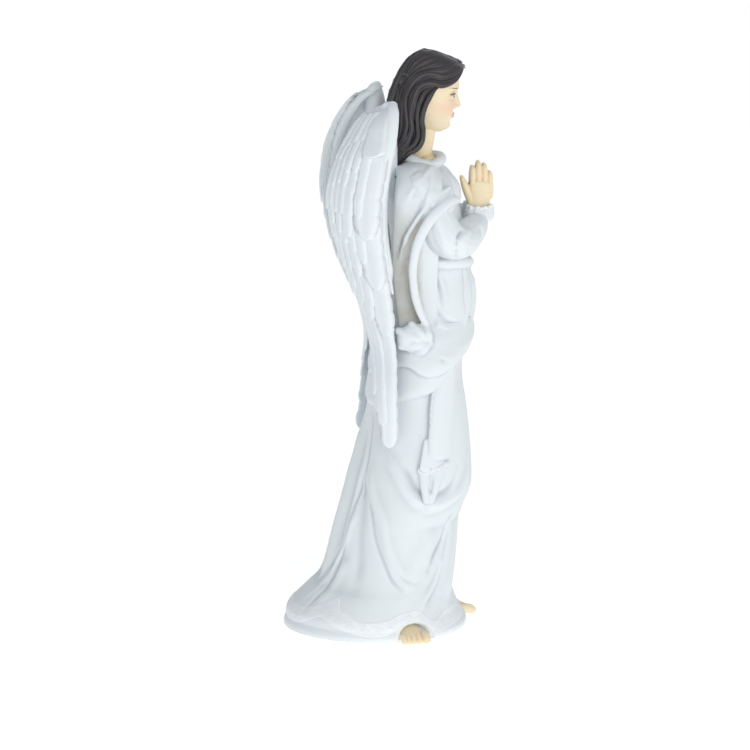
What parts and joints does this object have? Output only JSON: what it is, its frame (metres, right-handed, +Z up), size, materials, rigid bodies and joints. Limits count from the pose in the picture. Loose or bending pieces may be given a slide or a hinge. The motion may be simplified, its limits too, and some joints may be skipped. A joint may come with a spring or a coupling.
{
  "type": "painted resin praying angel figurine",
  "caption": "Standing angel with praying hands, long flared gown, draped shawl and folded wings, cast in one piece with a flat underside.",
  "frame": {"origin": "on the flat underside, below the head and on the figure's own middle plane", "axes": "+Z up, the figure looks along -Y, +X is its left hand"},
  "size_m": [0.1049, 0.1062, 0.2996],
  "materials": {
    "robe_paint": "matt white paint with a cool grey tint on cast resin",
    "hair_paint": "near-black paint with a soft sheen, grey on the ridges",
    "skin_paint": "matt cream paint, warmer in the creases"
  },
  "bodies": {
    "root": {"praying_angel": "robe_paint"}
  },
  "joints": []
}
